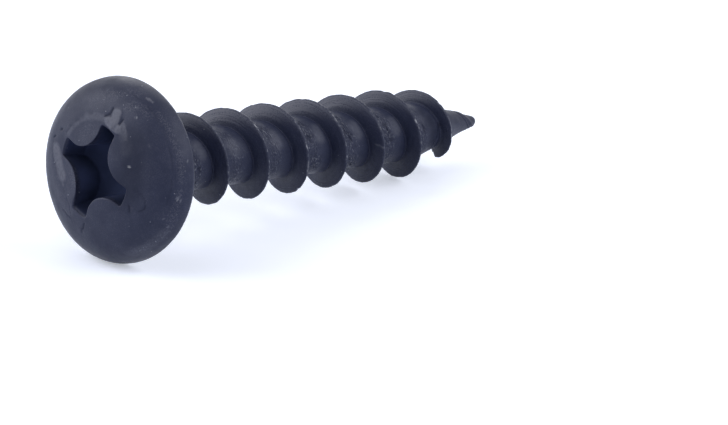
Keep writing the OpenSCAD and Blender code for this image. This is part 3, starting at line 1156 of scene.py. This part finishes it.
@dataclass(frozen=True)
class Groups:
    """The shader node groups that the coat is made of, with patterns that follow the screw's axis as it lies."""

    rest: Rest

    @staticmethod
    def start(
        name: str, inputs: tuple[str, ...], outputs: tuple[str, ...]
    ) -> tuple[bpy.types.NodeTree, Wiring, bpy.types.NodeOutputs, bpy.types.NodeInputs]:
        """Makes a group with its sockets, of which Place is a vector and each other one a number.

        Args:
            name: The group's name.
            inputs: The names of its inputs.
            outputs: The names of its outputs.

        Returns:
            The group, its wiring, what it is given, and where its results go.
        """
        tree = bpy.data.node_groups.new(name, "ShaderNodeTree")
        for way, labels in (("INPUT", inputs), ("OUTPUT", outputs)):
            for label in labels:
                kind = "NodeSocketVector" if label == "Place" else "NodeSocketFloat"
                tree.interface.new_socket(label, in_out=way, socket_type=kind)
        given = tree.nodes.new("NodeGroupInput").outputs
        return tree, Wiring(tree), given, tree.nodes.new("NodeGroupOutput").inputs

    def axis_space(self) -> bpy.types.NodeTree:
        """Makes the group that turns Object coordinates into millimetres on the screw's axis.

        Returns:
            The group, which gives the place and its radius.
        """
        tree, wiring, _, results = self.start("axis_space", (), ("Place", "Radius"))
        moves = {
            "Vector": wiring.add("TexCoord", {}).outputs["Object"],
            "Location": self.rest.matrix().inverted().translation,
            "Rotation": (0, -math.radians(90 + self.rest.tilt_deg), 0),
            "Scale": (1 / MM, 1 / MM, 1 / MM),
        }
        place = wiring.add("Mapping", moves, vector_type="POINT").outputs["Vector"]
        split = wiring.add("SeparateXYZ", {0: place}).outputs
        flat = wiring.add("CombineXYZ", {"X": split["X"], "Y": split["Y"]}).outputs[0]
        radius = wiring.add("VectorMath", {0: flat}, operation="LENGTH").outputs["Value"]
        wiring.feed(results, {"Place": place, "Radius": radius})
        return tree

    def mottle(self) -> bpy.types.NodeTree:
        """Makes the group of soft blotches in the coat.

        Returns:
            The group, which gives three sizes of them.
        """
        tree, wiring, given, results = self.start("coat_mottle", ("Place", "Scale"), ("Blotch", "Grain", "Fine"))
        for label, scale, detail in (("Blotch", 0.9, 5.0), ("Grain", 7.0, 3.0), ("Fine", 17.0, 2.0)):
            size = wiring.times(given["Scale"], scale)
            wiring.feed(results, {label: wiring.noise(given["Place"], size, detail, roughness=0.62)})
        return tree

    def drawn_lines(self) -> bpy.types.NodeTree:
        """Makes the group of fine lines that run round the flanks, broken up along their length.

        Returns:
            The group, which gives their height.
        """
        inputs = ("Place", "Radius", "Mask", "Density")
        tree, wiring, given, results = self.start("drawn_lines", inputs, ("Height",))
        line = wiring.add("CombineXYZ", {"X": wiring.times(given["Radius"], given["Density"])}).outputs[0]
        slow = wiring.add("VectorMath", {0: given["Place"], 1: (0.35, 0.35, 0.2)}, operation="MULTIPLY").outputs[0]
        join = wiring.add("VectorMath", {0: line, 1: slow}, operation="ADD").outputs[0]
        wiring.feed(results, {"Height": wiring.times(wiring.noise(join, 1.0, 2.0), given["Mask"])})
        return tree

    def torn_seam(self) -> bpy.types.NodeTree:
        """Makes the group of fine cracks and burrs that follow the seam between two turns of the thread.

        Returns:
            The group, which gives a mask of each.
        """
        tree, wiring, given, results = self.start("torn_seam", ("Along", "Across", "Mask"), ("Crack", "Burr"))

        def stretched(along: float, across: float, shift: float) -> Socket:
            """Makes a noise stretched along the seam."""
            place = {"X": wiring.times(given["Along"], along), "Y": wiring.times(given["Across"], across), "Z": shift}
            return wiring.noise(wiring.add("CombineXYZ", place).outputs[0], 1.0, 3.0)

        away = wiring.calc("ABSOLUTE", wiring.calc("SUBTRACT", stretched(1.1, 4.6, 0.0), 0.5))
        line = wiring.times(given["Mask"], wiring.remap(away, 0.034, 0.008), True)
        gate = wiring.remap(stretched(1.6, 3.0, 17.0), 0.44, 0.53)
        burr = wiring.remap(stretched(6.5, 11.0, 31.0), 0.54, 0.66)
        burrs = wiring.times(given["Mask"], burr, True)
        wiring.feed(results, {"Crack": wiring.times(line, gate, True), "Burr": burrs})
        return tree

    def specks(self) -> bpy.types.NodeTree:
        """Makes the group of small scattered specks of dust and chips.

        Returns:
            The group, which gives their mask.
        """
        tree, wiring, given, results = self.start("specks", ("Place", "Scale", "Size", "Share"), ("Speck",))
        inputs = {"Vector": given["Place"], "Scale": given["Scale"]}
        cells = wiring.add("TexVoronoi", inputs, feature="F1").outputs
        near = wiring.calc("LESS_THAN", cells["Distance"], given["Size"])
        pick = wiring.add("SeparateColor", {0: cells["Color"]}).outputs[0]
        wiring.feed(results, {"Speck": wiring.times(near, wiring.calc("GREATER_THAN", pick, given["Share"]))})
        return tree


@dataclass(frozen=True)
class Coat:
    """The blue-black coat over steel, with its wear, and painted light: fill light in the recess, a highlight on the
    flanks that look up and on the crown's flats, and shade over the head's middle right.
    """

    finish: Finish
    groups: Groups

    def material(self) -> bpy.types.Material:
        """Makes the material.

        Returns:
            The coat's material, which reads the mesh's traits and the screw's own axis.
        """
        f = self.finish
        material = bpy.data.materials.new("coated_steel")
        material.use_nodes = True
        wiring = Wiring(material.node_tree)
        times, plus, larger, remap, blend = wiring.times, wiring.plus, wiring.larger, wiring.remap, wiring.blend

        def group(tree: bpy.types.NodeTree, **values: Value) -> bpy.types.NodeOutputs:
            """Places a group with its own values."""
            node = wiring.add("Group", {}, node_tree=tree)
            wiring.feed(node.inputs, values)
            return node.outputs

        bare, pale, dust_and_fill, dark, deep, crest, flank, settled, seamed, along, across = (
            wiring.add("Attribute", {}, attribute_name=kind.value).outputs["Fac"] for kind in Trait
        )
        space = group(self.groups.axis_space())
        place = space["Place"]
        mottle = group(self.groups.mottle(), Place=place, Scale=1.0)
        blotch, grain, fine = mottle["Blotch"], mottle["Grain"], mottle["Fine"]
        lines = group(self.groups.drawn_lines(), Place=place, Radius=space["Radius"], Mask=flank, Density=17.0)
        share = remap(dust_and_fill, 0.0, 0.8, (0.93, 0.55))
        dust = group(self.groups.specks(), Place=place, Scale=4.6, Size=0.15, Share=share)
        seam = group(self.groups.torn_seam(), Along=along, Across=across, Mask=seamed)

        pale_share = times(pale, remap(grain, 0.3, 0.6, (0.6, 1.1)))
        speckled = times(remap(fine, 0.5, 0.62), remap(blotch, 0.38, 0.62, (0.12, 0.45)))
        clumps = times(remap(fine, 0.44, 0.6), remap(grain, 0.4, 0.56, (0.1, 1.2)))
        speckled = plus(speckled, times(dust_and_fill, clumps), True)
        streak = times(remap(lines["Height"], 0.36, 0.62), 0.6)
        patchy = plus(remap(fine, 0.38, 0.58, (0.28, 0.98)), streak, True)
        cracked = larger(dark, seam["Crack"])
        rubbed = larger(bare, times(crest, remap(grain, 0.52, 0.68, (0.0, 0.3))))
        colour = f.coat_dark
        for amount, over in (
            (remap(blotch, 0.35, 0.68), f.coat),
            (times(speckled, f.dust_share), f.pale),
            # Pale marks, with a painted highlight on the crown's flats
            (pale_share, f.pale),
            # Painted highlight on the flanks that look up, broken up along the drawn lines
            (times(settled, patchy), f.painted_highlight),
            (times(seam["Burr"], 0.75), f.fleck),
            (times(dust["Speck"], remap(grain, 0.4, 0.56, (0.0, 0.9))), f.fleck),
            # Painted fill light in the recess
            (deep, f.recess),
            # Painted fill light on the recess's walls that face away from the lamps
            (times(deep, times(dust_and_fill, 0.85)), f.recess_fill_light),
            (cracked, f.crack),
            (rubbed, f.steel),
        ):
            colour = blend(amount, colour, over)
        rough = remap(blotch, 0.3, 0.7, (f.roughness + 0.07, f.roughness - 0.06))
        rough = plus(rough, times(pale_share, 0.08))
        relief = plus(times(grain, 0.6), times(lines["Height"], 3.4))
        relief = plus(relief, times(seam["Burr"], 1.6))
        relief = wiring.calc("SUBTRACT", relief, times(seam["Crack"], 2.6))
        bump = wiring.add("Bump", {"Strength": f.bump_strength, "Distance": f.bump_depth * MM, "Height": relief})
        values = {
            "Base Color": colour,
            "Metallic": larger(rubbed, times(deep, 0.55)),
            "Roughness": plus(rough, times(larger(cracked, deep), 0.35), True),
            "IOR": f.ior,
            "Specular Tint": f.tint,
            "Normal": bump.outputs["Normal"],
        }
        wiring.feed(wiring.nodes["Principled BSDF"].inputs, values)
        return material


@dataclass
class CabinetScrew:
    """The whole screw, as one closed mesh."""

    head: Head
    shank: Shank
    coat: Coat
    rest: Rest
    cap_shares: Point3 = (0.3, 0.62, 0.85)
    swells: tuple[Point2, ...] = ((0.010, 0.9), (0.004, 2.7))
    swells_from: float = 0.1
    # The painted highlight on flanks that look up: how it fades towards the point, and which slopes get it
    highlight_fade: float = 0.2
    highlight_fade_span: Point2 = (-0.001, 0.005)
    looks_up: Point2 = (0.1, 0.42)

    def build(self) -> bpy.types.Object:
        """Builds, wears, dresses and lays down the screw.

        Returns:
            The finished piece, riding on the root body.
        """
        mesh = bmesh.new()
        mesh.verts.layers.int.new("spoke")
        for trait in Trait:
            mesh.verts.layers.float.new(trait.value)
        collar, end = self.shank.build(mesh)
        self.close_point(mesh, end)
        neck = self.head.build(mesh)
        bmesh.ops.bridge_loops(mesh, edges=neck + collar)
        bmesh.ops.recalc_face_normals(mesh, faces=mesh.faces)
        mesh.normal_update()
        self.head.mark(mesh)
        self.shank.wear(mesh)
        self.shank.draw_in(mesh)
        self.forge(mesh)
        self.head.settle(mesh)
        for face in mesh.faces:
            face.smooth = True
        bmesh.ops.transform(mesh, matrix=self.rest.matrix(), verts=mesh.verts)
        self.paint_top_highlight(mesh)
        data = bpy.data.meshes.new("cabinet_screw_coated")
        mesh.to_mesh(data)
        mesh.free()
        piece = bpy.data.objects.new("cabinet_screw_coated", data)
        bpy.context.scene.collection.objects.link(piece)
        data.materials.append(self.coat.material())
        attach(piece, "root")
        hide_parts("cabinet_screw")
        return piece

    def close_point(self, mesh: Mesh, ring: Ring) -> None:
        """Rounds the point off and closes it.

        Args:
            mesh: The screw's mesh.
            ring: The open ring of edges at the point.
        """
        centre = Vector((0, 0, self.shank.length))
        drop = self.shank.length - self.shank.end_z
        for share in self.cap_shares:
            z = self.shank.end_z + drop * (1 - (1 - share) ** 2)
            ring = extend(mesh, ring, lambda v: Vector((v.co.x * (1 - share), v.co.y * (1 - share), z)))
        close(mesh, ring, centre)

    def paint_top_highlight(self, mesh: Mesh) -> None:
        """Notes where a flank looks up, as the screw lies, so that the coat carries a painted highlight there, a
        little weaker towards the point.

        Args:
            mesh: The screw's mesh.
        """
        layers = trait_layers(mesh)
        mesh.normal_update()
        for v in mesh.verts:
            share = 1 - self.highlight_fade * ease(*self.highlight_fade_span, v.co.x)
            v[layers[Trait.TOP_HIGHLIGHT]] = share * v[layers[Trait.FLANK]] * ease(*self.looks_up, v.normal.z)

    def forge(self, mesh: Mesh) -> None:
        """Gives the head the faint swells that forming leaves.

        Args:
            mesh: The screw's mesh.
        """
        for v in mesh.verts:
            if v.co.z < -self.swells_from:
                v.co += v.normal * sum(height * noise.noise(v.co * rate) for height, rate in self.swells)


@dataclass(frozen=True)
class Lamp:
    """A soft panel that faces the screw."""

    name: str
    azimuth: float
    elevation: float
    size: float
    radiance: float
    distance: float = 0.35


@dataclass
class Studio:
    """The pale floor, the soft panels, the surroundings and the camera."""

    lamps: tuple[Lamp, ...] = (
        Lamp("right_panel", 30.0, 35.0, 0.26, 3.45),
        Lamp("left_panel", 224.0, 31.0, 0.3, 3.2),
        Lamp("front_panel", 333.0, 28.0, 0.22, 0.7),
        Lamp("back_panel", 130.0, 30.0, 0.22, 1.6),
        Lamp("top_panel", 270.0, 72.0, 0.2, 0.8),
    )
    surround: float = 0.27
    floor_size: float = 2.0
    floor_colour: Colour = (0.80, 0.84, 0.98)
    floor_roughness: float = 0.9
    floor_sheen: float = 0.1
    glow_colour: Colour = (0.9, 0.94, 1.0)
    floor_glow: float = 0.40
    camera_place: Point3 = (-113.975, -113.637, 52.363)
    camera_forward: Point3 = (0.68856, 0.655309, -0.310573)
    camera_roll: float = 0.5349
    lens: float = 162.281
    sensor: float = 36.0
    clip: Point2 = (0.01, 20.0)

    def build(self) -> None:
        """Makes everything round the screw."""
        self.build_floor()
        self.build_world()
        for lamp in self.lamps:
            self.build_lamp(lamp)
        self.build_camera()
        bpy.context.scene.view_settings.view_transform = "Standard"

    def build_floor(self) -> None:
        """Makes the pale floor, which shows white to the camera and keeps the screw's shadow."""
        mesh = bmesh.new()
        bmesh.ops.create_grid(mesh, x_segments=2, y_segments=2, size=self.floor_size)
        data = bpy.data.meshes.new("floor")
        mesh.to_mesh(data)
        mesh.free()
        floor = bpy.data.objects.new("floor", data)
        bpy.context.scene.collection.objects.link(floor)
        material = bpy.data.materials.new("pale_floor")
        material.use_nodes = True
        wiring = Wiring(material.node_tree)
        values = {
            "Base Color": self.floor_colour,
            "Roughness": self.floor_roughness,
            "Specular IOR Level": self.floor_sheen,
            "Emission Color": self.glow_colour,
            "Emission Strength": wiring.times(wiring.seen(), self.floor_glow),
        }
        wiring.feed(wiring.nodes["Principled BSDF"].inputs, values)
        data.materials.append(material)

    def build_world(self) -> None:
        """Makes the surroundings: white behind the screw, and dimmer where they light it."""
        world = bpy.data.worlds.new("surroundings")
        bpy.context.scene.world = world
        world.use_nodes = True
        wiring = Wiring(world.node_tree)
        level = wiring.remap(wiring.seen(), 0.0, 1.0, (self.surround, 1.0))
        wiring.feed(wiring.nodes["Background"].inputs, {"Color": (1.0, 1.0, 1.0), "Strength": level})

    def build_lamp(self, lamp: Lamp) -> None:
        """Makes one soft panel, turned towards the screw.

        Args:
            lamp: The panel's place, size and strength.
        """
        data = bpy.data.lights.new(lamp.name, "AREA")
        data.shape = "SQUARE"
        data.size = lamp.size
        data.energy = lamp.radiance * math.pi * lamp.size**2
        thing = bpy.data.objects.new(lamp.name, data)
        a, e = math.radians(lamp.azimuth), math.radians(lamp.elevation)
        back = Vector((math.sin(a) * math.cos(e), -math.cos(a) * math.cos(e), math.sin(e)))
        thing.location = back * lamp.distance
        thing.rotation_mode = "QUATERNION"
        thing.rotation_quaternion = (-back).to_track_quat("-Z", "Y")
        bpy.context.scene.collection.objects.link(thing)

    def build_camera(self) -> None:
        """Makes the camera and makes it the scene's."""
        data = bpy.data.cameras.new("camera")
        data.lens = self.lens
        data.sensor_width = self.sensor
        data.clip_start, data.clip_end = self.clip
        camera = bpy.data.objects.new("camera", data)
        bpy.context.scene.collection.objects.link(camera)
        camera.location = Vector(self.camera_place) * MM
        facing = Vector(self.camera_forward).to_track_quat("-Z", "Y")
        roll = Matrix.Rotation(math.radians(self.camera_roll), 3, "Z").to_quaternion()
        camera.rotation_mode = "QUATERNION"
        camera.rotation_quaternion = facing @ roll
        bpy.context.scene.camera = camera


def main() -> None:
    """Builds the screw and the studio."""
    logging.basicConfig(level=logging.INFO, format="%(name)s: %(message)s")
    rest = Rest()
    piece = CabinetScrew(Head(), Shank(), Coat(Finish(), Groups(rest)), rest).build()
    LOG.info("%s: %d faces", piece.name, len(piece.data.polygons))
    studio = Studio()
    studio.build()
    LOG.info("studio: %s", ", ".join(lamp.name for lamp in studio.lamps))


if __name__ == "__main__":
    main()
